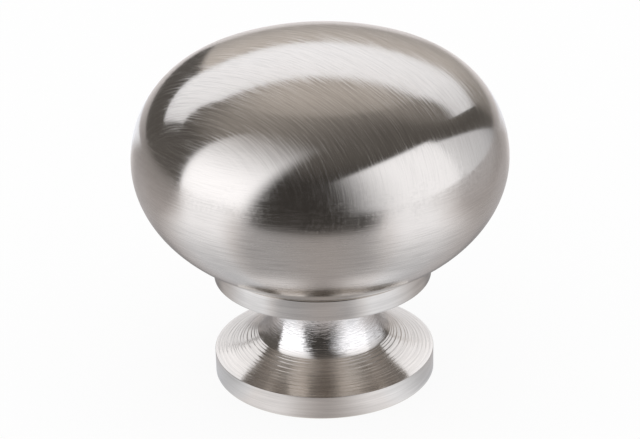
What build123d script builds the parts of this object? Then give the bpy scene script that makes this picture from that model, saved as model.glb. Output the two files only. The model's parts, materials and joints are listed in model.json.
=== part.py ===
"""Cabinet knob: a hollow spun head, crimped for good onto the turned base that carries it."""

import os
from math import asin, atan2, cos, degrees, isclose, radians, sqrt, tan

from build123d import *

# Head, a thin shell spun to an oval mushroom form
head_diameter = 31.75
crown_radius = 26.8  # the broad top, an arc centred on the axis
crown_rise = 10.18  # from the widest line up to the top
underside_rise = 8.98  # from the collar's top up to the widest line
shell_wall = 0.9

# Crimp inside the head
lip_reach = 1.1  # the head's turned-in lip, as far as it goes under the flange
lip_clearance = 0.05  # between the lip and the spigot it closes on
flange_thickness = 1.4
flange_clearance = 0.35  # between the flange's edge and the shell's inner wall

# Collar under the head
collar_diameter = 18.68
collar_height = 1.88
seam_break = 0.15  # broken edge that leaves a fine groove under the head

# Neck, a cove between foot and collar
neck_diameter = 9.2
lower_cove_rise = 3.1
lower_cove_reach = 1.14
upper_cove_rise = 2.49
upper_cove_reach = 2.0

# Foot
foot_diameter = 19.05
rim_height = 2.01
slope_rise = 1.56  # from the rim up to the crease under the neck
slope_hollow = 0.28  # how far the slope's middle lies below a straight line
edge_break = 0.12  # small bevel on the turned edges that show

# Underside of the foot
bearing_width = 2.0  # flat ring that sits on the door
relief_depth = 0.3

# Tapped hole for the fixing screw
thread_diameter = 4.17
thread_depth = 9.5
drill_point_angle = 118.0
mouth_chamfer = 0.4
mouth_angle = 90.0

# Radii and heights that follow from the sizes above
head_radius = head_diameter / 2
collar_radius = collar_diameter / 2
neck_radius = neck_diameter / 2
crease_radius = neck_radius + lower_cove_reach
cove_top_radius = neck_radius + upper_cove_reach
foot_radius = foot_diameter / 2
thread_radius = thread_diameter / 2

crease_height = rim_height + slope_rise
neck_height = crease_height + lower_cove_rise
collar_underside = neck_height + upper_cove_rise
collar_top = collar_underside + collar_height
lip_top = collar_top + shell_wall
flange_top = lip_top + flange_thickness
widest_height = collar_top + underside_rise
overall_height = widest_height + crown_rise

# The shoulder arc runs tangent from the crown down to the widest line
shoulder_radius = (2 * crown_radius * crown_rise - crown_rise**2 - head_radius**2) / (
    2 * (crown_radius - head_radius)
)
crown_sweep = degrees(atan2(head_radius - shoulder_radius, crown_radius - crown_rise))

# The underside is part of an ellipse that comes down to the collar's edge
underside_semi_height = underside_rise / sqrt(1 - (collar_radius / head_radius) ** 2)


def underside_angle(inset, floor_height):
    """Angle along the underside's ellipse, drawn in by inset, from the widest line to a height."""
    return asin((widest_height - floor_height) / (underside_semi_height - inset))


def head_section(inset, floor_height):
    """Half section of the head with its surface drawn in by inset, closed by a flat floor."""
    with BuildSketch(Plane.XZ) as section:
        with BuildLine():
            crown = CenterArc(
                (0, overall_height - crown_radius), crown_radius - inset, 90, -crown_sweep
            )
            CenterArc(
                (head_radius - shoulder_radius, widest_height),
                shoulder_radius - inset,
                90 - crown_sweep,
                crown_sweep - 90,
            )
            underside = EllipticalCenterArc(
                (0, widest_height),
                head_radius - inset,
                underside_semi_height - inset,
                arc_size=-degrees(underside_angle(inset, floor_height)),
            )
            Polyline(underside @ 1, (0, floor_height), crown @ 0)
        make_face()
    return section.sketch


def round_edge(part, radius, height):
    """The circular edge of a given radius about the axis, at a given height."""
    return part.edges().filter_by(
        lambda edge: edge.geom_type == GeomType.CIRCLE
        and isclose(edge.radius, radius, abs_tol=1e-4)
        and isclose(edge.arc_center.Z, height, abs_tol=1e-4)
    )


# The flange stands clear of the shell's inner wall, and the spigot passes the lip
cavity_radius = (head_radius - shell_wall) * cos(underside_angle(shell_wall, lip_top))
flange_radius = cavity_radius - flange_clearance
spigot_radius = flange_radius - lip_reach

with BuildPart() as head:
    revolve(head_section(0, collar_top), axis=Axis.Z)
    revolve(head_section(shell_wall, lip_top), axis=Axis.Z, mode=Mode.SUBTRACT)
    with Locations((0, 0, lip_top)):
        Hole(spigot_radius + lip_clearance, depth=shell_wall)

with BuildPart() as base:
    with BuildSketch(Plane.XZ):
        with BuildLine():
            foot = Polyline((0, 0), (foot_radius, 0), (foot_radius, rim_height))
            slope = SagittaArc(foot @ 1, (crease_radius, crease_height), slope_hollow)
            TangentArc((neck_radius, neck_height), slope @ 1, tangent=(0, -1))
            upper_cove = TangentArc(
                (neck_radius, neck_height), (cove_top_radius, collar_underside), tangent=(0, 1)
            )
            Polyline(
                upper_cove @ 1,
                (collar_radius, collar_underside),
                (collar_radius, collar_top),
                (spigot_radius, collar_top),
                (spigot_radius, lip_top),
                (flange_radius, lip_top),
                (flange_radius, flange_top),
                (0, flange_top),
                foot @ 0,
            )
        make_face()
    revolve(axis=Axis.Z)

    # Turned edges
    chamfer(round_edge(base, foot_radius, 0), edge_break)
    chamfer(round_edge(base, foot_radius, rim_height), edge_break)
    chamfer(round_edge(base, collar_radius, collar_underside), edge_break)
    chamfer(round_edge(base, collar_radius, collar_top), seam_break)

    # Relieved underside, so the foot bears on its outer ring
    with BuildSketch(Plane.XY):
        Circle(foot_radius - bearing_width)
    extrude(amount=relief_depth, mode=Mode.SUBTRACT)

    # Blind screw hole with a chamfered mouth and a drill-point end
    with Locations(Plane((0, 0, relief_depth), z_dir=(0, 0, -1))):
        CounterSinkHole(
            thread_radius, thread_radius + mouth_chamfer, thread_depth, mouth_angle
        )
    with Locations((0, 0, relief_depth + thread_depth)):
        Cone(
            thread_radius,
            0,
            thread_radius / tan(radians(drill_point_angle / 2)),
            align=(Align.CENTER, Align.CENTER, Align.MIN),
            mode=Mode.SUBTRACT,
        )

head.part.label = "head"
base.part.label = "base"

os.makedirs("parts", exist_ok=True)
export_step(head.part, "parts/head.step")
export_step(base.part, "parts/base.step")
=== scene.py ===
"""Cabinet knob: a brushed oval head on a turned base with a tapped hole, and the studio around it."""

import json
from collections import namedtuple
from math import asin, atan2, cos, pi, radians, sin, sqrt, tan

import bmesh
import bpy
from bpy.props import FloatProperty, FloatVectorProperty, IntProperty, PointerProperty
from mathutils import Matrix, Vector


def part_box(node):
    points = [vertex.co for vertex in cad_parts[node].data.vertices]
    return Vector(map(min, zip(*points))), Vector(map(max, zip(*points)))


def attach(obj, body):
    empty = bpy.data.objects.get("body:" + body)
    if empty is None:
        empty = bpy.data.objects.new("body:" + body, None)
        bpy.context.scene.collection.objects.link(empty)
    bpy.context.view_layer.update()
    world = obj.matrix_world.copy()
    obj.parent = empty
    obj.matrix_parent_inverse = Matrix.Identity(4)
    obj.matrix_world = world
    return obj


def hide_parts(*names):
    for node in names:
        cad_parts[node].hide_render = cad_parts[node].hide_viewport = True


bl_info = {
    "name": "Cabinet knob",
    "version": (1, 0, 0),
    "blender": (4, 5, 0),
    "location": "3D View > Sidebar > Knob",
    "description": "Builds the brushed head, the turned base, the screw thread and a soft studio",
    "category": "Object",
}

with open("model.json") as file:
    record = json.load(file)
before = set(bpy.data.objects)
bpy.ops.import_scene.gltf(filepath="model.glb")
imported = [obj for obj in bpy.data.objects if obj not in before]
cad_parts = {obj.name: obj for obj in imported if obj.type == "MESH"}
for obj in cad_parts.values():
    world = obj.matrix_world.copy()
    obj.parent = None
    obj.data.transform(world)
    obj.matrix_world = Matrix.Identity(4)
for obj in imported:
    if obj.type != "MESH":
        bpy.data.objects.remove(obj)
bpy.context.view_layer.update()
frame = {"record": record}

MM = 0.001
UP = (0.0, 0.0, 1.0)
BODY = "root"

# Places and sizes that the frame gives
HEAD_LOW, HEAD_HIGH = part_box("head")
BASE_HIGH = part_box("base")[1]
SCREW_HOLE = next(m for m in frame["record"]["mounts"] if m["name"] == "screw_hole")
BORE_LOW = SCREW_HOLE["pos_m"][2]
BORE_RADIUS = SCREW_HOLE["dims"]["r_mm"] * MM
BORE_LENGTH = SCREW_HOLE["dims"]["length_mm"] * MM

# Facets along the sections, and across a rounded edge
CROWN_STEPS = 48
SHOULDER_STEPS = 48
BELLY_STEPS = 72
INSIDE_COARSENESS = 3  # so many times fewer steps inside the head
LIP_PIECES = 4
UNDERSIDE_PIECES = 8
SLOPE_STEPS = 200
COVE_STEPS = 28
COLLAR_PIECES = 12
EDGE_SEGMENTS = 3

# Angles between faces from which an edge is rounded, or shaded as a crease
ROUNDED_FROM = radians(50)
CREASED_FROM = radians(25)

# Distances in metres within which two places are the same
MERGE_DISTANCE = 1e-7
SAME_HEIGHT = 1e-6

RING_SHUFFLE = 2.4  # puts the widths of the lathe's steps in an uneven order


def length(name, description, default):
    """A size in metres, shown in the scene's length unit."""
    return FloatProperty(
        name=name, description=description, default=default, min=0.0, precision=5, unit="LENGTH"
    )


def heights(name, description, *millimetres):
    """Two heights over the door for a step, or four where a band begins, is full, falls and ends."""
    return FloatVectorProperty(
        name=name,
        description=description,
        default=tuple(height * MM for height in millimetres),
        size=len(millimetres),
        precision=5,
        unit="LENGTH",
    )


def turn(name, description, degrees):
    """An angle, written in degrees."""
    return FloatProperty(
        name=name, description=description, default=radians(degrees), precision=3, unit="ROTATION"
    )


def share(name, description, default):
    """A plain number from nought to one."""
    return FloatProperty(
        name=name, description=description, default=default, min=0.0, max=1.0, subtype="FACTOR"
    )


def tone(name, description, default):
    """A linear colour."""
    return FloatVectorProperty(
        name=name, description=description, default=default, min=0.0, max=1.0, subtype="COLOR"
    )


class KnobHeadSizes(bpy.types.PropertyGroup):
    """Sizes of the spun head"""

    radius: length("Radius", "Half of the head's widest diameter", HEAD_HIGH.x)
    crown_radius: length("Crown radius", "Arc of the broad top, centred on the axis", 26.8 * MM)
    crown_rise: length("Crown rise", "From the widest line up to the top", 10.18 * MM)
    low_radius: length("Lower edge radius", "Radius where the underside ends", 9.34 * MM)
    wall: length("Wall", "Thickness of the spun shell", 0.9 * MM)
    lip_radius: length("Lip radius", "Inner radius of the lip crimped on the base", 7.75 * MM)
    edge: length("Edge", "Rounding of the lower edge", 0.08 * MM)
    steps: IntProperty(name="Steps", description="Facets round the head", default=256, min=16)


class KnobBaseSizes(bpy.types.PropertyGroup):
    """Sizes of the turned base"""

    foot_radius: length("Foot radius", "Half of the foot's diameter", BASE_HIGH.x)
    rim_height: length("Rim height", "Height of the foot's upright rim", 2.01 * MM)
    crease_radius: length("Crease radius", "Where the foot's slope meets the neck", 5.74 * MM)
    crease_height: length("Crease height", "Height of that crease", 3.57 * MM)
    neck_radius: length("Neck radius", "Narrowest radius of the cove", 4.6 * MM)
    neck_height: length("Neck height", "Height of the narrowest place", 6.67 * MM)
    cove_radius: length("Cove radius", "Radius where the cove meets the collar", 6.6 * MM)
    collar_radius: length("Collar radius", "Half of the collar's diameter", 9.34 * MM)
    collar_low: length("Collar underside", "Height of the collar's underside", 9.16 * MM)
    seam_break: length("Seam break", "Broken edge of the collar, a fine groove under the head", 0.15 * MM)
    spigot_radius: length("Spigot radius", "Spigot that passes the head's lip", 7.7 * MM)
    flange_low: length("Flange underside", "Height of the flange inside the head", 11.94 * MM)
    flange_radius: length("Flange radius", "Half of that flange's diameter", 8.8 * MM)
    bearing_width: length("Bearing width", "Flat ring that sits on the door", 2.0 * MM)
    relief: length("Relief", "Depth of the hollow inside that ring", 0.3 * MM)
    drill_point: turn("Drill point", "Full angle of the bore's conical end", 118.0)
    mouth: length("Mouth", "Chamfer at the bore's mouth", 0.4 * MM)
    edge: length("Edge", "Rounding of the turned edges", 0.12 * MM)
    slope_hollow: length("Slope hollow", "How far the foot's slope lies below a straight line", 0.28 * MM)
    ring_pitch: length("Ring pitch", "Mean width of the lathe's steps on the foot's slope", 0.3 * MM)
    ring_spread: share("Ring spread", "Share by which the steps are wider or narrower than that", 0.5)
    ring_depth: length("Ring depth", "Depth of a step of the mean width", 0.013 * MM)
    ring_tread: share("Ring tread", "Share of a step that is its flatter tread", 0.72)
    steps: IntProperty(name="Steps", description="Facets round the base", default=192, min=16)


class KnobThreadSizes(bpy.types.PropertyGroup):
    """Sizes of the cut thread in the bore"""

    pitch: length("Pitch", "Rise of one turn, with 32 turns to the inch", 25.4 / 32 * MM)
    crest_radius: length("Crest radius", "Inner radius of the thread", 1.72 * MM)
    root_width: length("Root width", "Height of the ridge at the bore's wall", 0.68 * MM)
    crest_width: length("Crest width", "Height of the flat on the ridge", 0.11 * MM)
    bite: length("Bite", "How far the ridge reaches into the bore's wall", 0.01 * MM)
    runout: length("Run-out", "Plain bore left at each end of the thread", 0.5 * MM)
    steps: IntProperty(name="Steps", description="Facets in one turn", default=40, min=8)


class KnobFinish(bpy.types.PropertyGroup):
    """Colours and brushing of the metal"""

    nickel: tone("Nickel", "Colour of the satin nickel", (0.635, 0.594, 0.548))
    turned: tone("Turned nickel", "Colour of the collar and of the foot's rim", (0.70, 0.665, 0.62))
    slope: tone("Slope nickel", "Colour of the foot's slope", (0.69, 0.64, 0.585))
    # Painted highlight: the neck gets its own lighter copy of the nickel, so that the panels it mirrors
    # burn out white
    neck: tone("Neck nickel", "Colour of the bright neck", (0.8, 0.765, 0.73))
    crown_dullness: share("Crown dullness", "How much darker the crown's furrows are", 0.17)
    belly_dullness: share("Belly dullness", "How much darker the belly's furrows are", 0.18)
    turned_dullness: share("Turned dullness", "How much darker the furrows of the base are", 0.18)
    streak_dullness: share("Streak dullness", "How much darker the streaks on collar and rim are", 0.12)
    top_roughness: share("Top roughness", "Roughness at the top of the crown", 0.085)
    crown_roughness: share("Crown roughness", "Roughness low on the crown", 0.125)
    belly_roughness: share("Belly roughness", "Roughness where strokes run round the head", 0.17)
    tuck_roughness: share("Tuck roughness", "Roughness low on the belly, close to the collar", 0.06)
    scratch_roughness: share("Scratch roughness", "Roughness that the deepest strokes add", 0.16)
    turned_roughness: share("Turned roughness", "Roughness of the collar and of the foot's rim", 0.125)
    slope_roughness: share("Slope roughness", "Roughness of the foot's slope", 0.17)
    furrow_roughness: share("Furrow roughness", "Roughness that a turned furrow adds or takes away", 0.03)
    neck_roughness: share("Neck roughness", "Roughness between the torn furrows of the neck", 0.07)
    head_stretch: share("Head stretch", "How far highlights are drawn out across the strokes", 0.75)
    base_stretch: share("Base stretch", "How far highlights are drawn out across the furrows", 0.9)

    brushing: FloatVectorProperty(
        name="Brushing axis",
        description="The strokes on the crown lie square to this axis",
        default=(0.663, 0.728, -0.173),
        subtype="DIRECTION",
    )
    stroke_width: length("Stroke width", "Width of a fine stroke", 0.08 * MM)
    stroke_length: length("Stroke length", "Length of a fine stroke", 2.6 * MM)
    stroke_depth: length("Stroke depth", "Depth of the strokes", 0.004 * MM)
    head_press: share("Head press", "How strongly the strokes stand out on the head", 0.9)
    polish: heights("Polish", "From low on the crown up to its smooth top", 23, 28)
    tuck: heights("Tuck", "From the smooth tuck over the collar up to the brushed belly", 12, 14.5)
    scratched: heights("Scratched", "Where the deepest strokes begin and are full", 12, 15)

    crown_end: length("Crown strokes end", "Height where the crown's strokes begin to fade", 24.8 * MM)
    belly_start: length("Belly strokes begin", "Height where strokes run round the head", 19.2 * MM)
    patch: length("Patch", "Size of the patches where the two ways of brushing meet", 1.4 * MM)
    drift: length("Drift", "How far those patches reach up and down", 7 * MM)
    speck: length("Speck", "Size of the specks in those patches", 0.3 * MM)
    speckle: share("Speckle", "How strongly those specks show", 0.7)
    meeting: heights("Meeting", "Where both ways of brushing meet", 18.5, 21, 24, 26.5)
    meeting_press: share("Meeting press", "How strongly the strokes stand out there", 0.35)
    # Painted highlight: the meeting band is where the side highlight falls, and the strokes' darker tone
    # fades there
    meeting_highlight_calm: share("Meeting calm", "How much the tones of the strokes fade there", 0.5)

    ring_length: length("Ring length", "Length of a turned furrow on the base", 5 * MM)
    ring_bump: length("Ring bump", "Depth of the finest turned furrows", 0.008 * MM)
    rim_press: share("Rim press", "How strongly the furrows stand out on collar and rim", 0.5)
    streak_width: length("Streak width", "Width of the streaks on collar and rim", 0.4 * MM)
    cut: heights("Cut", "The slope and the neck, between rim and collar", 1.9, 2.1, 8.6, 9.2)
    torn: heights("Torn", "The neck, where the furrows are torn short", 3.4, 4.4, 6.4, 8.0)
    torn_width: length("Torn width", "Width of the torn furrows", 0.085 * MM)
    torn_length: length("Torn length", "Length of the torn furrows", 1.3 * MM)
    torn_depth: length("Torn depth", "Depth of the torn furrows", 0.032 * MM)


class KnobStudio(bpy.types.PropertyGroup):
    """Camera, floor and panels"""

    focal_pixels: FloatProperty(
        name="Focal length",
        description="Focal length in image pixels",
        default=2183.45,
        subtype="PIXEL",
    )
    distance: length("Distance", "From the camera to the point it aims at", 185.97 * MM)
    clip_start: length("Clip start", "Nearest distance that the camera sees", 10 * MM)
    elevation: turn("Elevation", "How far the camera looks down", 25.194)
    roll: turn("Roll", "How far the picture is turned", 1.3386)
    aim: FloatVectorProperty(
        name="Aim",
        description="Point at the middle of the picture",
        default=(-0.1274 * MM, 0.0, 14.008 * MM),
        subtype="TRANSLATION",
    )
    floor: tone("Floor", "Colour of the floor", (0.93, 0.93, 0.93))
    floor_reach: length("Floor reach", "Half of the floor's width", 2000 * MM)
    whiteness: share("Whiteness", "Share of the floor that is plain white in the picture", 0.9)
    world: tone("World", "Colour of the light all round", (1.0, 1.0, 1.0))
    tent_radius: length("Tent radius", "Radius of the tent around the knob", 600 * MM)
    panel_distance: length("Panel distance", "From the knob to the panels", 450 * MM)
    table_reach: length("Table reach", "Half of the width of the table's sheen", 700 * MM)
    table_lift: length("Table lift", "Height of the table's sheen over the floor", 0.05 * MM)


def arc(bm, start, centre, sweep, steps):
    """Spin a vertex round a centre in the section's plane and return the vertices of the arc."""
    before = set(bm.verts)
    bmesh.ops.spin(
        bm, geom=[start], cent=(centre[0], 0, centre[1]), axis=(0, 1, 0), angle=sweep, steps=steps
    )
    return [v for v in bm.verts if v not in before]


def straight(bm, start, points, pieces):
    """Straight runs from a vertex through points of the section, each in a number of pieces."""
    for x, z in points:
        corner = start.co.copy()
        goal = Vector((x, 0, z))
        for number in range(1, pieces + 1):
            start = bmesh.ops.extrude_vert_indiv(bm, verts=[start])["verts"][0]
            start.co = corner.lerp(goal, number / pieces)
    return start


def tangent_centre(start, end):
    """Centre of the arc from a point where it runs upright to another point of the section."""
    x, z = end[0] - start[0], end[1] - start[1]
    return start[0] + (x * x + z * z) / (2 * x), start[1]


def revolve(bm, steps, edge):
    """Spin a section once round the axis, close it, and round its outer edges."""
    bmesh.ops.spin(
        bm,
        geom=bm.verts[:] + bm.edges[:],
        cent=(0, 0, 0),
        axis=UP,
        angle=2 * pi,
        steps=steps,
        use_merge=True,
    )
    bmesh.ops.remove_doubles(bm, verts=bm.verts, dist=MERGE_DISTANCE)
    bmesh.ops.recalc_face_normals(bm, faces=bm.faces)
    corners = [e for e in bm.edges if e.is_convex and e.calc_face_angle(0.0) > ROUNDED_FROM]
    bmesh.ops.bevel(
        bm,
        geom=corners,
        offset=edge,
        offset_type="OFFSET",
        affect="EDGES",
        segments=EDGE_SEGMENTS,
        profile=0.5,
        material=-1,
        clamp_overlap=True,
    )


def finish_piece(bm, name, material, node=None):
    """Turn a bmesh into a piece that rides on the knob, with a material and sharp creases."""
    for face in bm.faces:
        face.smooth = True
    for e in bm.edges:
        e.smooth = e.calc_face_angle(0.0) < CREASED_FROM
    open_edges = [e for e in bm.edges if not e.is_manifold]
    if open_edges:
        raise RuntimeError(f"{name} is not closed: {len(open_edges)} edges")
    mesh = bpy.data.meshes.new(name)
    bm.to_mesh(mesh)
    bm.free()
    mesh.materials.append(material)
    piece = bpy.data.objects.new(name, mesh)
    bpy.context.scene.collection.objects.link(piece)
    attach(piece, BODY)
    if node:
        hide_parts(node)


def add(tree, kind, values=None, **settings):
    """Add a node, with its settings, and a value or a link for each of its named inputs."""
    made = tree.nodes.new(kind)
    for key, value in settings.items():
        setattr(made, key, value)
    for key, value in (values or {}).items():
        if isinstance(value, bpy.types.NodeSocket):
            tree.links.new(value, made.inputs[key])
        else:
            made.inputs[key].default_value = value
    return made


def maths(tree, operation, first, second=0.0):
    """The result of a sum on one or two values."""
    return add(tree, "ShaderNodeMath", {0: first, 1: second}, operation=operation).outputs[0]


def ramp(tree, value, start, end, low=0.0, high=1.0):
    """A smooth step of a value, from low at start to high at end."""
    values = {"Value": value, "From Min": start, "From Max": end, "To Min": low, "To Max": high}
    node = add(tree, "ShaderNodeMapRange", values, interpolation_type="SMOOTHSTEP")
    return node.outputs["Result"]


def band(tree, value, start, full, fall, end):
    """A value's smooth rise from start to full, and its fall from fall to end."""
    return maths(tree, "MULTIPLY", ramp(tree, value, start, full), ramp(tree, value, end, fall))


def lean(tree, way, other):
    """How far one direction leans towards another, as a dot product."""
    values = {0: way, 1: other}
    return add(tree, "ShaderNodeVectorMath", values, operation="DOT_PRODUCT").outputs["Value"]


# First input and output of the Mix node for each kind of value
MIX_SOCKETS = {"FLOAT": (2, 0), "VECTOR": (4, 1), "RGBA": (6, 2)}


def mixed(tree, kind, factor, first, second):
    """Two values, vectors or colours mixed by a factor."""
    low, out = MIX_SOCKETS[kind]
    node = add(tree, "ShaderNodeMix", {0: factor, low: first, low + 1: second}, data_type=kind)
    return node.outputs[out]


def noise(tree, vector, detail=2.0, **values):
    """The value of a noise texture, about one half on average."""
    values = {"Vector": vector, "Scale": 1.0, "Detail": detail, **values}
    dimensions = "4D" if "W" in values else "3D"
    return add(tree, "ShaderNodeTexNoise", values, noise_dimensions=dimensions).outputs["Fac"]


def new_material(name):
    """An empty material, with its node tree and its output."""
    material = bpy.data.materials.new(name)
    material.use_nodes = True
    tree = material.node_tree
    tree.nodes.clear()
    output = add(tree, "ShaderNodeOutputMaterial")
    return material, tree, output


# Values of the strokes' noise between which the metal changes
NOISE_MEAN = 0.5
FURROW = (0.65, 0.25)  # it darkens
SCRATCH = (0.42, 0.75)  # it roughens on the head
GRAIN = (0.3, 0.7)  # it roughens on the base

PATCH_DETAIL = 3.0
RUN_OUT = (0.72, 0.93)  # lean towards the brushing axis at which straight strokes run out
CROSSING = (0.05, 0.4, 0.6, 0.95)  # share of round strokes at which both ways cross
QUARTER_TURN = 0.25


def straight_strokes(tree, position, axis, width, run):
    """Long scratches that lie square to an axis, as fine as width and as long as run."""
    turned = Vector(axis).to_track_quat("X", "Z").to_euler()
    values = {"Vector": position, "Rotation": turned, "Scale": (width, run, run)}
    mapped = add(tree, "ShaderNodeMapping", values, vector_type="TEXTURE")
    return noise(tree, mapped.outputs[0])


def round_strokes(tree, position, radius, width, run):
    """Scratches that run round the axis, as fine as width and as long as run at a radius."""
    x, y, z = add(tree, "ShaderNodeSeparateXYZ", {0: position}).outputs
    flat = add(tree, "ShaderNodeCombineXYZ", {0: x, 1: y}).outputs[0]
    span = add(tree, "ShaderNodeVectorMath", {0: flat}, operation="LENGTH").outputs["Value"]
    outward = add(tree, "ShaderNodeVectorMath", {0: flat}, operation="NORMALIZE").outputs[0]
    x, y, _ = add(tree, "ShaderNodeSeparateXYZ", {0: outward}).outputs
    values = {
        0: maths(tree, "MULTIPLY", x, radius / run),
        1: maths(tree, "MULTIPLY", y, radius / run),
        2: maths(tree, "DIVIDE", z, width),
    }
    vector = add(tree, "ShaderNodeCombineXYZ", values).outputs[0]
    return noise(tree, vector, W=maths(tree, "DIVIDE", span, width))


def metal(tree, output, color, roughness, bump, tangent, stretch, rotation=0.0):
    """A metal surface with brushed bump, and highlights drawn out along or across a tangent."""
    values = {
        "Base Color": color,
        "Metallic": 1.0,
        "Roughness": roughness,
        "Anisotropic": stretch,
        "Anisotropic Rotation": rotation,
        "Normal": bump,
        "Tangent": tangent,
    }
    shader = add(tree, "ShaderNodeBsdfPrincipled", values)
    tree.links.new(shader.outputs["BSDF"], output.inputs["Surface"])


def stroke_color(tree, strokes, color, dullness):
    """A metal's colour, darker by a share in the furrows between its strokes."""
    depth = maths(tree, "MULTIPLY", ramp(tree, strokes, *FURROW), dullness)
    light = maths(tree, "SUBTRACT", 1.0, depth)
    return add(tree, "ShaderNodeVectorMath", {0: color, "Scale": light}, operation="SCALE").outputs[0]


def facing_way(tree, position, sizes):
    """The way the oval head faces at a place, as for an egg of its width and height."""
    middle = (0.0, 0.0, HEAD_HIGH.z - sizes.crown_rise)
    squash = (1.0, 1.0, (sizes.radius / sizes.crown_rise) ** 2)
    way = add(tree, "ShaderNodeVectorMath", {0: position, 1: middle}, operation="SUBTRACT").outputs[0]
    way = add(tree, "ShaderNodeVectorMath", {0: way, 1: squash}, operation="MULTIPLY").outputs[0]
    return add(tree, "ShaderNodeVectorMath", {0: way}, operation="NORMALIZE").outputs[0]


def brushed_nickel(finish, sizes):
    """Satin nickel brushed straight over the crown and round the belly."""
    material, tree, output = new_material("brushed_nickel")
    position = add(tree, "ShaderNodeTexCoord").outputs["Object"]
    height = add(tree, "ShaderNodeSeparateXYZ", {0: position}).outputs["Z"]
    outward = facing_way(tree, position, sizes)

    # The two ways of brushing meet in ragged patches, and where the straight strokes would run out
    patches = noise(tree, position, PATCH_DETAIL, Scale=1 / finish.patch)
    reach = maths(tree, "MULTIPLY", maths(tree, "SUBTRACT", patches, NOISE_MEAN), finish.drift)
    low = ramp(tree, maths(tree, "ADD", height, reach), finish.crown_end, finish.belly_start)
    square = maths(tree, "ABSOLUTE", lean(tree, outward, finish.brushing))
    belly = maths(tree, "MAXIMUM", low, ramp(tree, square, *RUN_OUT))

    width, run = finish.stroke_width, finish.stroke_length
    crown = straight_strokes(tree, position, finish.brushing, width, run)
    around = round_strokes(tree, position, sizes.radius, width, run)
    strokes = mixed(tree, "FLOAT", belly, crown, around)

    # Where both ways cross, the metal is speckled and the strokes are fainter; the fading of their darker
    # tone there is a painted highlight, as the side highlight falls in this band
    crossing = maths(tree, "MULTIPLY", band(tree, low, *CROSSING), finish.speckle)
    specks = maths(tree, "SUBTRACT", noise(tree, position, Scale=1 / finish.speck), NOISE_MEAN)
    strokes = maths(tree, "ADD", strokes, maths(tree, "MULTIPLY", specks, crossing))
    meeting = band(tree, height, *finish.meeting)
    calm = maths(tree, "SUBTRACT", 1.0, maths(tree, "MULTIPLY", meeting, finish.meeting_highlight_calm))
    press = ramp(tree, meeting, 0.0, 1.0, finish.head_press, finish.meeting_press)
    values = {"Height": strokes, "Distance": finish.stroke_depth, "Strength": press}
    bump = add(tree, "ShaderNodeBump", values).outputs["Normal"]

    # Painted highlight: the furrows' darkening is calmed in the meeting band, where the side highlight
    # falls
    dullness = ramp(tree, belly, 0.0, 1.0, finish.crown_dullness, finish.belly_dullness)
    dullness = maths(tree, "MULTIPLY", dullness, calm)
    color = stroke_color(tree, strokes, finish.nickel, dullness)

    # The crown is smoothest at its top, and the belly where it tucks in over the collar
    crown_rough = ramp(tree, height, *finish.polish, finish.crown_roughness, finish.top_roughness)
    belly_rough = ramp(tree, height, *finish.tuck, finish.tuck_roughness, finish.belly_roughness)
    rough = mixed(tree, "FLOAT", belly, crown_rough, belly_rough)
    scratches = ramp(tree, strokes, *SCRATCH, 0.0, finish.scratch_roughness)
    calm = maths(tree, "MULTIPLY", calm, ramp(tree, height, *finish.scratched))
    rough = maths(tree, "ADD", rough, maths(tree, "MULTIPLY", scratches, calm))
    tangent = mixed(tree, "VECTOR", belly, finish.brushing, UP)
    metal(tree, output, color, rough, bump, tangent, finish.head_stretch)
    return material


def turned_nickel(finish, radius):
    """Satin nickel with the furrows that a lathe tool leaves, torn short in the neck."""
    material, tree, output = new_material("turned_nickel")
    position = add(tree, "ShaderNodeTexCoord").outputs["Object"]
    height = add(tree, "ShaderNodeSeparateXYZ", {0: position}).outputs["Z"]
    cut = band(tree, height, *finish.cut)
    neck = band(tree, height, *finish.torn)

    rings = round_strokes(tree, position, radius, finish.stroke_width, finish.ring_length)
    torn = round_strokes(tree, position, radius, finish.torn_width, finish.torn_length)
    furrows = mixed(tree, "FLOAT", neck, rings, torn)
    press = ramp(tree, cut, 0.0, 1.0, finish.rim_press, 1.0)
    depth = ramp(tree, neck, 0.0, 1.0, finish.ring_bump, finish.torn_depth)
    values = {"Height": furrows, "Distance": depth, "Strength": press}
    bump = add(tree, "ShaderNodeBump", values).outputs["Normal"]

    streaks = round_strokes(tree, position, radius, finish.streak_width, finish.ring_length)
    streaked = ramp(tree, cut, 0.0, 1.0, finish.streak_dullness, 0.0)
    # Painted highlight: the neck takes the lighter copy of the nickel, so that its mirrored panels burn
    # out white
    color = mixed(tree, "VECTOR", neck, finish.slope, finish.neck)
    color = mixed(tree, "VECTOR", cut, finish.turned, color)
    color = stroke_color(tree, furrows, color, maths(tree, "MULTIPLY", press, finish.turned_dullness))
    color = stroke_color(tree, streaks, color, streaked)

    rough = ramp(tree, cut, 0.0, 1.0, finish.turned_roughness, finish.slope_roughness)
    grain = ramp(tree, furrows, *GRAIN, -finish.furrow_roughness, finish.furrow_roughness)
    rough = maths(tree, "ADD", rough, grain)
    rough = mixed(tree, "FLOAT", neck, rough, finish.neck_roughness)
    around = {0: UP, 1: position}
    tangent = add(tree, "ShaderNodeVectorMath", around, operation="CROSS_PRODUCT").outputs[0]
    metal(tree, output, color, rough, bump, tangent, finish.base_stretch, QUARTER_TURN)
    return material


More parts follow.
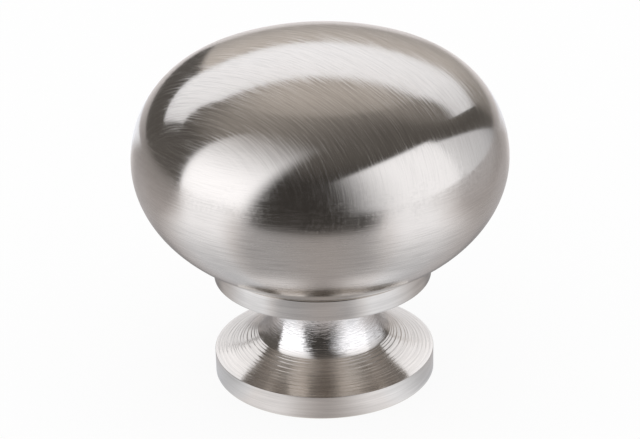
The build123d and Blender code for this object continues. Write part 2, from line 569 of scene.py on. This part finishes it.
class KNOB_OT_head(bpy.types.Operator):
    """Spin the hollow oval head and brush it"""

    bl_idname = "knob.head"
    bl_label = "Head"

    def execute(self, context):
        sizes = context.scene.knob_head
        finish = context.scene.knob_finish
        bm = bmesh.new()
        outside = self.outline(bm, sizes, 0.0, HEAD_LOW.z)
        inside = self.outline(bm, sizes, sizes.wall, HEAD_LOW.z + sizes.wall, INSIDE_COARSENESS)
        lip = [(sizes.lip_radius, HEAD_LOW.z), (sizes.lip_radius, HEAD_LOW.z + sizes.wall)]
        bm.edges.new((straight(bm, outside, lip, LIP_PIECES), inside))
        revolve(bm, sizes.steps, sizes.edge)
        finish_piece(bm, "knob_head", brushed_nickel(finish, sizes), "head")
        return {"FINISHED"}

    def outline(self, bm, sizes, inset, floor, coarseness=1):
        """Half section of the head from the top down to a height, drawn in by an inset."""
        widest = HEAD_HIGH.z - sizes.crown_rise
        drop = HEAD_HIGH.z - sizes.crown_radius
        reach = 2 * sizes.crown_radius * sizes.crown_rise - sizes.crown_rise**2 - sizes.radius**2
        shoulder = reach / (2 * (sizes.crown_radius - sizes.radius))
        sweep = atan2(sizes.radius - shoulder, widest - drop)
        spread = sqrt(1 - (sizes.low_radius / sizes.radius) ** 2)
        half_height = (widest - HEAD_LOW.z) / spread - inset
        half_width = sizes.radius - inset
        tuck = asin((widest - floor) / half_height)

        top = bm.verts.new((0, 0, HEAD_HIGH.z - inset))
        crown = arc(bm, top, (0, drop), sweep, CROWN_STEPS // coarseness)
        centre = (sizes.radius - shoulder, widest)
        side = arc(bm, crown[-1], centre, pi / 2 - sweep, SHOULDER_STEPS // coarseness)
        belly = arc(bm, side[-1], (0, widest), tuck, BELLY_STEPS // coarseness)
        squeeze = (1, 1, half_height / half_width)
        about = Matrix.Translation((0, 0, -widest))
        bmesh.ops.scale(bm, vec=squeeze, space=about, verts=belly)
        return belly[-1]


class KNOB_OT_base(bpy.types.Operator):
    """Turn the base: foot, cove neck, collar and tapped bore"""

    bl_idname = "knob.base"
    bl_label = "Base"

    def execute(self, context):
        sizes = context.scene.knob_base
        finish = context.scene.knob_finish
        bore_high = BORE_LOW + BORE_LENGTH
        bearing = sizes.foot_radius - sizes.bearing_width
        crease = (sizes.crease_radius, sizes.crease_height)
        neck = (sizes.neck_radius, sizes.neck_height)
        cove = (sizes.cove_radius, sizes.collar_low)

        bm = bmesh.new()
        point = bm.verts.new((0, 0, bore_high + BORE_RADIUS / tan(sizes.drill_point / 2)))
        underside = [
            (BORE_RADIUS, bore_high),
            (BORE_RADIUS, BORE_LOW),
            (BORE_RADIUS + sizes.mouth, sizes.relief),
            (bearing, sizes.relief),
            (bearing, 0),
            (sizes.foot_radius, 0),
            (sizes.foot_radius, sizes.rim_height),
        ]
        rim = straight(bm, point, underside, UNDERSIDE_PIECES)
        slope = self.hollow_slope(bm, rim, crease, sizes)
        start = self.cove(bm, slope, neck, crease)
        start = self.cove(bm, start, neck, cove)
        collar = [
            (sizes.collar_radius, sizes.collar_low),
            (sizes.collar_radius, HEAD_LOW.z - sizes.seam_break),
            (sizes.collar_radius - sizes.seam_break, HEAD_LOW.z),
            (sizes.spigot_radius, HEAD_LOW.z),
            (sizes.spigot_radius, sizes.flange_low),
            (sizes.flange_radius, sizes.flange_low),
            (sizes.flange_radius, BASE_HIGH.z),
            (0, BASE_HIGH.z),
        ]
        straight(bm, start, collar, COLLAR_PIECES)
        revolve(bm, sizes.steps, sizes.edge)
        finish_piece(bm, "knob_base", turned_nickel(finish, sizes.foot_radius), "base")
        return {"FINISHED"}

    def cove(self, bm, start, neck, end):
        """Arc between the narrowest place and another point, in the direction it is drawn."""
        centre = tangent_centre(neck, end)
        first = atan2(start.co.z - centre[1], start.co.x - centre[0])
        goal = end if abs(start.co.z - neck[1]) < SAME_HEIGHT else neck
        last = atan2(goal[1] - centre[1], goal[0] - centre[0])
        sweep = (first - last + pi) % (2 * pi) - pi
        return arc(bm, start, centre, sweep, COVE_STEPS)[-1]

    def hollow_slope(self, bm, rim, crease, sizes):
        """Shallow arc from the rim up to the crease, stepped as a lathe tool leaves it."""
        run = Vector((crease[0], 0, crease[1])) - rim.co
        out = Vector((run.z, 0, -run.x)).normalized()
        half, hollow = run.length / 2, sizes.slope_hollow
        bend = (half**2 + hollow**2) / (2 * hollow)
        centre = rim.co + run / 2 + out * (bend - hollow)
        sweep = 2 * asin(half / bend)
        slope = arc(bm, rim, (centre.x, centre.z), sweep, SLOPE_STEPS)

        whole = bend * sweep
        starts = [0.0]
        while starts[-1] < whole:
            uneven = sizes.ring_spread * sin(RING_SHUFFLE * len(starts) ** 2)
            starts.append(starts[-1] + sizes.ring_pitch * (1 + uneven))
        for number, v in enumerate(slope[:-1], 1):
            along = whole * number / len(slope)
            start, end = next(pair for pair in zip(starts, starts[1:]) if pair[1] >= along)
            part = (along - start) / (end - start)
            tread = 0.5 - part / sizes.ring_tread
            riser = (part - sizes.ring_tread) / (1 - sizes.ring_tread) - 0.5
            rise = tread if part < sizes.ring_tread else riser
            depth = sizes.ring_depth * (end - start) / sizes.ring_pitch
            v.co += (centre - v.co).normalized() * depth * rise
        return slope[-1]


class KNOB_OT_thread(bpy.types.Operator):
    """Cut the screw thread in the bore"""

    bl_idname = "knob.thread"
    bl_label = "Screw thread"

    def execute(self, context):
        sizes = context.scene.knob_thread
        low = BORE_LOW + sizes.runout
        rise = BORE_LENGTH - 2 * sizes.runout
        steps = int(rise / sizes.pitch * sizes.steps)
        root, crest = BORE_RADIUS + sizes.bite, sizes.crest_radius
        bm = bmesh.new()
        ridge = [
            (root, -sizes.root_width / 2),
            (crest, -sizes.crest_width / 2),
            (crest, sizes.crest_width / 2),
            (root, sizes.root_width / 2),
        ]
        face = bm.faces.new([bm.verts.new((x, 0, low + z)) for x, z in ridge])
        bmesh.ops.spin(
            bm,
            geom=[face, *face.edges, *face.verts],
            cent=(0, 0, 0),
            axis=UP,
            dvec=(0, 0, sizes.pitch / sizes.steps),
            angle=2 * pi * steps / sizes.steps,
            steps=steps,
        )
        ends = [e for e in bm.edges if e.is_boundary]
        bmesh.ops.holes_fill(bm, edges=ends, sides=len(ridge))
        bmesh.ops.recalc_face_normals(bm, faces=bm.faces)
        finish_piece(bm, "screw_thread", bpy.data.materials["turned_nickel"])
        return {"FINISHED"}


def heading(azimuth, elevation):
    """Unit direction from the knob, with azimuth 0 towards the camera and positive to the right."""
    a, e = radians(azimuth), radians(elevation)
    return Vector((cos(e) * sin(a), -cos(e) * cos(a), sin(e)))


def angles(*degrees):
    """Angles in radians, written in degrees."""
    return tuple(radians(angle) for angle in degrees)


LightPanel = namedtuple("LightPanel", "name corners light fade tone")
Step = namedtuple("Step", "start end low high")
Glow = namedtuple("Glow", "way step")

COOL_WHITE = (0.97, 1.0, 1.07, 1.0)
WARM_WHITE = (1.0, 0.94, 0.89, 1.0)
SHEET_WHITE = (1.0, 0.955, 0.965, 1.0)

# Panels round the knob. Corners are azimuth and elevation in degrees, with azimuth 0 towards the
# camera, in the order lower left, lower right, upper right and upper left. Light is given at the
# left, the middle and the right, and fades over a share of the left, right, lower and upper edge.
PANELS = (
    LightPanel(
        "left_panel",
        corners=((-89.5, -4), (-38, -4), (16, 66), (-92.5, 70)),
        light=(1.7, 1.7, 1.7),
        fade=(0.06, 0.22, 0.0, 0.75),
        tone=COOL_WHITE,
    ),
    LightPanel(
        "right_panel",
        corners=((10.5, -4), (88, -4), (88, 40.5), (2.5, 30)),
        light=(1.42, 1.42, 1.42),
        fade=(0.55, 0.01, 0.0, 0.08),
        tone=COOL_WHITE,
    ),
    LightPanel(
        "right_return",
        corners=((88, -4), (134, -4), (133, -1), (88, 37)),
        light=(1.0, 0.8, 0.45),
        fade=(0.0, 0.1, 0.0, 0.1),
        tone=COOL_WHITE,
    ),
    LightPanel(
        "back_panel",
        corners=((133, 16.8), (232, 16.2), (241, 30.4), (118, 31.4)),
        light=(1.05, 1.38, 1.15),
        fade=(0.0, 0.0, 0.0, 0.0),
        tone=COOL_WHITE,
    ),
    LightPanel(
        "backdrop",
        corners=((140, -20), (180, -20), (202, 22), (131, 18)),
        light=(0.3, 0.68, 0.75),
        fade=(0.1, 0.02, 1.0, 0.0),
        tone=WARM_WHITE,
    ),
)
PANEL_GAP = 1.01  # each panel hangs so many times as far away as the one before it

# Cards by corners in millimetres: one on the table for the dark room past its front edge, and a low
# reflector that stands close behind the knob and lights the back of its foot
TABLE_CARDS = (
    LightPanel(
        "front_gap",
        corners=((-600, -600, 0.1), (470, -600, 0.1), (41, -52, 0.1), (-52, -52, 0.1)),
        light=(0.06, 0.06, 0.06),
        fade=(0.27, 0.22, 0.0, 0.03),
        tone=WARM_WHITE,
    ),
    LightPanel(
        "low_reflector",
        corners=((-1, 30, 0.1), (6, 30, 0.1), (44, 30, 17), (-56, 30, 17)),
        light=(1.1, 1.1, 1.1),
        fade=(0.2, 0.2, 0.0, 0.04),
        tone=COOL_WHITE,
    ),
)

# Light painted on the tent, by how far a direction leans towards a way
TENT_WALL = Glow((0.0, 1.0, 0.0), Step(-0.7, 0.0, low=0.055, high=0.125))
TENT_ROOF = Glow((-0.6, 0.6, 0.0), Step(-0.4, 0.5, low=0.15, high=0.4))
WALL_TO_ROOF = Glow(UP, Step(0.48, 0.93, low=0.0, high=1.0))
BACK_GLOW = Glow(heading(180, 52), Step(0.9, 1.0, low=0.0, high=0.3))
RIGHT_GLOW = Glow(heading(135, 45), Step(0.9, 1.0, low=0.0, high=0.12))

# Light and shade painted on the table's sheet, by azimuth from the camera and by distance from the knob's
# axis
TABLE_LIGHT = 0.53
LEFT_SPILL = angles(-94, -74, -58, -36)
RIGHT_SPILL = angles(18, 46, 58, 88)
SPILL_REACH = Step(4 * MM, 48 * MM, low=0.1, high=0.83)
SPILL_SOFTNESS = Step(60 * MM, 24 * MM, low=0.0, high=radians(22))
RIM_THROW = angles(0, 30, 36, 75)
RIM_POOL = Step(17 * MM, 13 * MM, low=0.0, high=0.5)
RIM_COOLNESS = 0.6
BACK_LIGHT = angles(130, 165)
BACK_REACH = Step(25 * MM, 60 * MM, low=0.0, high=0.55)
BACK_SHADE = angles(105, 125, 150, 170)
SHADE_REACH = Step(36 * MM, 20 * MM, low=0.0, high=0.25)
SHEEN = Step(0.5, 0.97, low=0.03, high=0.4)  # share of gloss, by how low the angle is
SHEEN_ROUGHNESS = 0.2

# Facets of the tent and of the cards
TENT_SEGMENTS = 48
TENT_RINGS = 24
CARD_SEGMENTS = 8

# The picture's width in pixels, and the sensor's in millimetres
IMAGE_WIDTH = 640
SENSOR_WIDTH = 36.0


def shine(tree, output, light, color, veil=None):
    """Give a surface of the stage its own light, clear where a veil is nought."""
    shader = add(tree, "ShaderNodeEmission", {"Color": color, "Strength": light}).outputs[0]
    if veil:
        clear = add(tree, "ShaderNodeBsdfTransparent").outputs[0]
        shader = add(tree, "ShaderNodeMixShader", {0: veil, 1: clear, 2: shader}).outputs[0]
    tree.links.new(shader, output.inputs["Surface"])


def panel_light(panel):
    """Light of a panel that dies away towards its edges."""
    material, tree, output = new_material(panel.name)
    place = add(tree, "ShaderNodeTexCoord").outputs["UV"]
    across, up, _ = add(tree, "ShaderNodeSeparateXYZ", {0: place}).outputs
    left, middle, right = panel.light
    first = ramp(tree, across, 0.0, 0.5, left, middle)
    light = maths(tree, "ADD", first, ramp(tree, across, 0.5, 1.0, 0.0, right - middle))
    veil = None
    edges = ((across, 0.0, 1), (across, 1.0, -1), (up, 0.0, 1), (up, 1.0, -1))
    for (value, start, sign), width in zip(edges, panel.fade):
        if width:
            step = ramp(tree, value, start, start + sign * width)
            veil = maths(tree, "MULTIPLY", veil, step) if veil else step
    shine(tree, output, light, panel.tone, veil)
    return material


def glowing(tree, way, glow):
    """Light that changes as a direction leans towards the way of a glow."""
    return ramp(tree, lean(tree, way, glow.way), *glow.step)


def tent_cloth():
    """Dark cloth round the set, its glow darkest behind the camera, with painted light overhead from the
    left.
    """
    material, tree, output = new_material("tent_cloth")
    position = add(tree, "ShaderNodeTexCoord").outputs["Object"]
    way = add(tree, "ShaderNodeVectorMath", {0: position}, operation="NORMALIZE").outputs[0]
    wall = glowing(tree, way, TENT_WALL)
    roof = glowing(tree, way, TENT_ROOF)
    cloth = mixed(tree, "FLOAT", glowing(tree, way, WALL_TO_ROOF), wall, roof)
    spots = maths(tree, "ADD", glowing(tree, way, BACK_GLOW), glowing(tree, way, RIGHT_GLOW))
    shine(tree, output, maths(tree, "ADD", cloth, spots), WARM_WHITE)
    return material


def side_light(tree, azimuth, soft):
    """Light of the two side panels on the table, by azimuth, with a softer edge at the back."""
    start, full, fall, end = LEFT_SPILL
    left = band(tree, azimuth, maths(tree, "SUBTRACT", start, soft), full, fall, end)
    start, full, fall, end = RIGHT_SPILL
    right = band(tree, azimuth, start, full, fall, maths(tree, "ADD", end, soft))
    return maths(tree, "ADD", left, right)


def table_sheen():
    """Satin sheet on the table as the metal mirrors it, with the light of the panels and of the foot's
    rim, and painted shade behind the foot, all painted into its glow.
    """
    material, tree, output = new_material("table_sheen")
    position = add(tree, "ShaderNodeTexCoord").outputs["Object"]
    x, y, _ = add(tree, "ShaderNodeSeparateXYZ", {0: position}).outputs
    azimuth = maths(tree, "ARCTAN2", x, maths(tree, "MULTIPLY", y, -1.0))
    turned_away = maths(tree, "ABSOLUTE", azimuth)
    away = add(tree, "ShaderNodeVectorMath", {0: position}, operation="LENGTH").outputs["Value"]

    # Painted light: the panels' light spreads further round the knob close to it, and the rim throws a
    # pool of it
    wide = side_light(tree, azimuth, ramp(tree, away, *SPILL_SOFTNESS))
    thrown = band(tree, turned_away, *RIM_THROW)
    pool = maths(tree, "MULTIPLY", thrown, ramp(tree, away, *RIM_POOL))
    spread = maths(tree, "MULTIPLY", wide, ramp(tree, away, *SPILL_REACH))
    behind = ramp(tree, turned_away, *BACK_LIGHT)
    behind = maths(tree, "MULTIPLY", behind, ramp(tree, away, *BACK_REACH))
    # Painted shadow of the head on the table, behind the foot and close to it
    shaded = band(tree, turned_away, *BACK_SHADE)
    shade = maths(tree, "MULTIPLY", shaded, ramp(tree, away, *SHADE_REACH))
    light = maths(tree, "ADD", maths(tree, "ADD", pool, spread), behind)
    light = maths(tree, "SUBTRACT", light, shade)
    strength = maths(tree, "ADD", light, TABLE_LIGHT)

    cool = maths(tree, "MAXIMUM", wide, maths(tree, "MULTIPLY", thrown, RIM_COOLNESS))
    color = mixed(tree, "RGBA", cool, SHEET_WHITE, COOL_WHITE)
    body = add(tree, "ShaderNodeEmission", {"Color": color, "Strength": strength}).outputs[0]
    gloss = add(tree, "ShaderNodeBsdfAnisotropic", {"Roughness": SHEEN_ROUGHNESS}).outputs[0]
    low_angle = add(tree, "ShaderNodeLayerWeight").outputs["Facing"]
    sheen = ramp(tree, low_angle, *SHEEN)
    shader = add(tree, "ShaderNodeMixShader", {0: sheen, 1: body, 2: gloss}).outputs[0]
    tree.links.new(shader, output.inputs["Surface"])
    return material


class KNOB_OT_stage(bpy.types.Operator):
    """Set the floor, the light, the panels that the metal mirrors, and the camera"""

    bl_idname = "knob.stage"
    bl_label = "Studio"

    def execute(self, context):
        scene = context.scene
        studio = scene.knob_studio
        self.light_all_round(scene, studio)
        self.lay_floor(studio)
        self.hang_tent(studio)
        self.hang_panels(studio)
        self.lay_table(studio)
        self.set_camera(scene, studio)
        scene.view_settings.view_transform = "Standard"
        return {"FINISHED"}

    def light_all_round(self, scene, studio):
        """Even white light from the whole world."""
        world = bpy.data.worlds.new("studio_light")
        world.use_nodes = True
        background = world.node_tree.nodes["Background"]
        background.inputs["Color"].default_value = (*studio.world, 1)
        background.inputs["Strength"].default_value = 1.0
        scene.world = world

    def staged(self, name, bm, material):
        """An object of the stage made from a bmesh."""
        mesh = bpy.data.meshes.new(name)
        bm.to_mesh(mesh)
        bm.free()
        mesh.materials.append(material)
        item = bpy.data.objects.new(name, mesh)
        bpy.context.scene.collection.objects.link(item)
        return item

    def lay_floor(self, studio):
        """Plain pale floor under the knob."""
        material, tree, output = new_material("pale_floor")
        color = (*studio.floor, 1)
        matt = add(tree, "ShaderNodeBsdfDiffuse", {"Color": color}).outputs[0]
        white = add(tree, "ShaderNodeEmission", {"Strength": 1.0}).outputs[0]
        rays = add(tree, "ShaderNodeLightPath").outputs
        seen = maths(tree, "ADD", rays["Is Camera Ray"], rays["Is Glossy Ray"])
        seen = maths(tree, "ADD", seen, rays["Is Transmission Ray"])
        part = maths(tree, "MULTIPLY", seen, studio.whiteness)
        shader = add(tree, "ShaderNodeMixShader", {0: part, 1: matt, 2: white}).outputs[0]
        tree.links.new(shader, output.inputs["Surface"])
        bm = bmesh.new()
        bmesh.ops.create_grid(bm, x_segments=1, y_segments=1, size=studio.floor_reach)
        self.staged("floor", bm, material)

    def hang_tent(self, studio):
        """Tent around the set that only the metal mirrors."""
        bm = bmesh.new()
        bmesh.ops.create_uvsphere(
            bm, u_segments=TENT_SEGMENTS, v_segments=TENT_RINGS, radius=studio.tent_radius
        )
        self.mirrored_only(self.staged("tent", bm, tent_cloth()))

    def hang_panels(self, studio):
        """Bright panels round the knob, each a little further out than the one before."""
        middle = Vector(studio.aim)
        distance = studio.panel_distance
        for panel in PANELS:
            distance *= PANEL_GAP
            corners = [middle + distance * heading(*corner) for corner in panel.corners]
            self.hang_card(panel.name, corners, panel_light(panel))

    def lay_table(self, studio):
        """The table's sheen, and the cards on and over it."""
        reach = studio.table_reach
        sheet = ((-reach, -reach), (reach, -reach), (reach, reach), (-reach, reach))
        corners = [Vector((x, y, studio.table_lift)) for x, y in sheet]
        self.hang_card("table", corners, table_sheen())
        for card in TABLE_CARDS:
            corners = [Vector(corner) * MM for corner in card.corners]
            self.hang_card(card.name, corners, panel_light(card))

    def hang_card(self, name, corners, material):
        """A card with four corners in space, that only the metal mirrors."""
        half = 0.5
        bm = bmesh.new()
        bmesh.ops.create_grid(bm, x_segments=CARD_SEGMENTS, y_segments=CARD_SEGMENTS, size=half)
        bmesh.ops.translate(bm, vec=(half, half, 0), verts=bm.verts)
        places = bm.loops.layers.uv.new("UVMap")
        for face in bm.faces:
            for loop in face.loops:
                loop[places].uv = loop.vert.co.xy
        low_left, low_right, high_right, high_left = corners
        for v in bm.verts:
            across, up = v.co.xy
            v.co = low_left.lerp(low_right, across).lerp(high_left.lerp(high_right, across), up)
        self.mirrored_only(self.staged(name, bm, material))

    def mirrored_only(self, item):
        """Keep a panel out of the picture and out of the light on the floor."""
        item.active_material.cycles.emission_sampling = "NONE"
        item.visible_camera = False
        item.visible_diffuse = False
        item.visible_shadow = False

    def set_camera(self, scene, studio):
        """Camera at the picture's angle."""
        data = bpy.data.cameras.new("camera")
        data.sensor_width = SENSOR_WIDTH
        data.lens = data.sensor_width * studio.focal_pixels / IMAGE_WIDTH
        data.clip_start = studio.clip_start
        camera = bpy.data.objects.new("camera", data)
        scene.collection.objects.link(camera)
        ahead = Vector((0, cos(studio.elevation), -sin(studio.elevation)))
        up = Vector((0, sin(studio.elevation), cos(studio.elevation)))
        right = Vector((1, 0, 0))
        x_axis = right * cos(studio.roll) - up * sin(studio.roll)
        y_axis = right * sin(studio.roll) + up * cos(studio.roll)
        turned = Matrix((x_axis, y_axis, -ahead)).transposed().to_4x4()
        place = Vector(studio.aim) - studio.distance * ahead
        camera.matrix_world = Matrix.Translation(place) @ turned
        scene.camera = camera


class KNOB_PT_panel(bpy.types.Panel):
    """Lists the knob's pieces and its studio"""

    bl_idname = "KNOB_PT_panel"
    bl_label = "Cabinet knob"
    bl_space_type = "VIEW_3D"
    bl_region_type = "UI"
    bl_category = "Knob"

    def draw(self, context):
        for operator in OPERATORS:
            self.layout.operator(operator.bl_idname)


GROUPS = {
    "knob_head": KnobHeadSizes,
    "knob_base": KnobBaseSizes,
    "knob_thread": KnobThreadSizes,
    "knob_finish": KnobFinish,
    "knob_studio": KnobStudio,
}
OPERATORS = (KNOB_OT_head, KNOB_OT_base, KNOB_OT_thread, KNOB_OT_stage)


def register():
    """Register the classes and hang the settings on the scene."""
    for group in GROUPS.values():
        bpy.utils.register_class(group)
    for name, group in GROUPS.items():
        setattr(bpy.types.Scene, name, PointerProperty(type=group))
    for cls in (*OPERATORS, KNOB_PT_panel):
        bpy.utils.register_class(cls)


def unregister():
    """Take the settings off the scene and unregister the classes."""
    for cls in (KNOB_PT_panel, *reversed(OPERATORS)):
        bpy.utils.unregister_class(cls)
    for name in GROUPS:
        delattr(bpy.types.Scene, name)
    for group in reversed(GROUPS.values()):
        bpy.utils.unregister_class(group)


def main():
    """Build every piece and the studio."""
    register()
    bpy.ops.knob.head()
    bpy.ops.knob.base()
    bpy.ops.knob.thread()
    bpy.ops.knob.stage()


if __name__ == "__main__":
    main()
